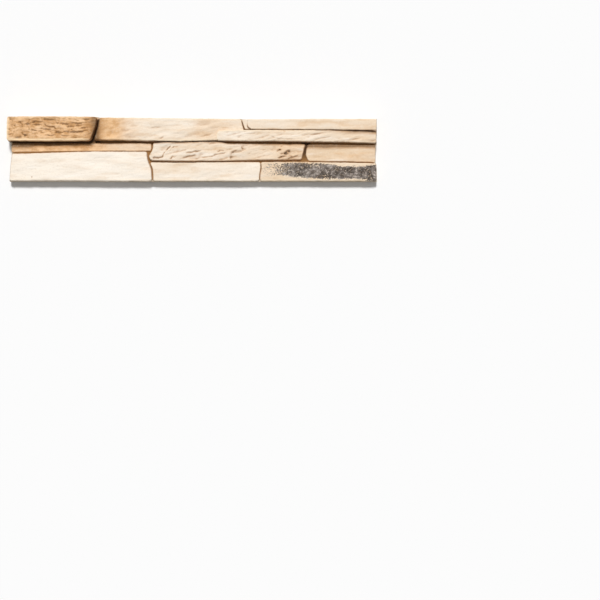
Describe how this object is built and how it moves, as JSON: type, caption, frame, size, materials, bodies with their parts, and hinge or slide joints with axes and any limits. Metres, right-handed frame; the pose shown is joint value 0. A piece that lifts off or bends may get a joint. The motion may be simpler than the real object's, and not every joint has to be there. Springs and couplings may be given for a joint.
{
  "type": "stone cladding tile",
  "caption": "Flat cast stone cladding tile with a relief of split ledge stones at stepped depths, flat back, cream with ochre and charcoal staining.",
  "frame": {"origin": "middle of the flat back, at the centre of the tile's length and height", "axes": "+X along the tile's length, +Y up the wall when laid, +Z out of the face"},
  "size_m": [0.5, 0.088, 0.0272],
  "materials": {
    "cast_stone": "matt cast stone, cream with ochre and charcoal staining"
  },
  "bodies": {
    "root": {"cladding_tile": "cast_stone"}
  },
  "joints": []
}
